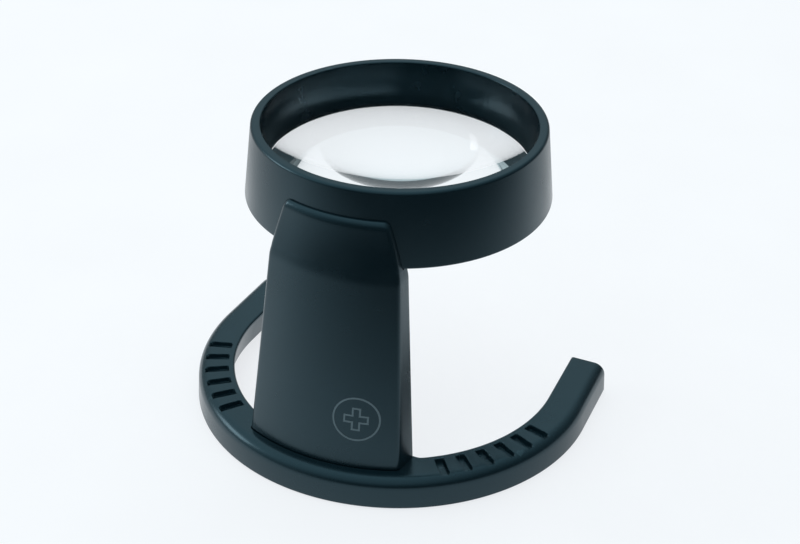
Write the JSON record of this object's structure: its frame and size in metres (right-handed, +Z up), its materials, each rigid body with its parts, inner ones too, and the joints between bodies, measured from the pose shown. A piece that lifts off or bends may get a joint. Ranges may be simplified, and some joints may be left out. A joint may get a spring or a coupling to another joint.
{
  "type": "low vision stand magnifier",
  "caption": "Fixed-focus stand magnifier: an open horseshoe base, a curved leaning column and a level round housing that holds an aspheric lens above the page.",
  "frame": {"origin": "on the surface the magnifier stands on, under the middle of its bounding box", "axes": "+Z up along the lens axis, +Y from the column towards the open side of the base, +X to the right of a person who faces the column"},
  "size_m": [0.072, 0.0624, 0.054],
  "materials": {
    "stand_plastic": "satin",
    "lens_acrylic": "polished",
    "retainer_plastic": "matte",
    "screw_steel": "satin"
  },
  "bodies": {
    "root": {"base": "stand_plastic", "column": "stand_plastic", "lens_housing": "stand_plastic", "lens": "lens_acrylic", "lens_retaining_ring": "retainer_plastic", "base_screw_left": "screw_steel", "base_screw_right": "screw_steel", "housing_screw_left": "screw_steel", "housing_screw_right": "screw_steel"}
  },
  "joints": []
}
